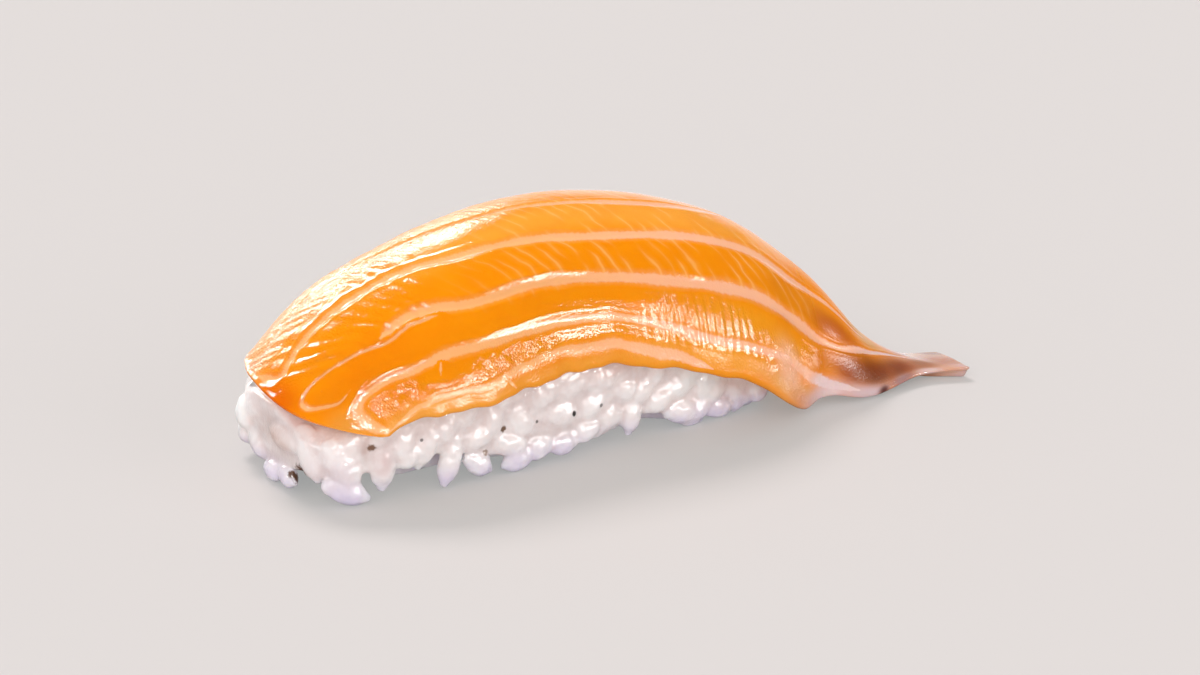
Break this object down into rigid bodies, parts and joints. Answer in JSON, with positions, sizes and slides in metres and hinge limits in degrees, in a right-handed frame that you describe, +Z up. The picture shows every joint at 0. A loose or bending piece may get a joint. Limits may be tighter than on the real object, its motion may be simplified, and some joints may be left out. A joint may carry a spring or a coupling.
{
  "type": "salmon nigiri",
  "caption": "Slice of raw salmon draped over a hand-pressed block of rice, its thin tail trailing on the table; food to set on a plate, board or counter.",
  "frame": {"origin": "on the table under the middle of the block of rice", "axes": "+X along the rice towards the slice's tail, -Y towards the side where the slice hangs lower, +Z up"},
  "size_m": [0.0755, 0.0278, 0.0234],
  "materials": {
    "rice": "cooked rice, warm white, moist and slightly translucent",
    "salmon": "raw salmon, wet orange flesh with pale sinew stripes, browner at the tail"
  },
  "bodies": {
    "root": {"rice": "rice", "salmon": "salmon"}
  },
  "joints": []
}
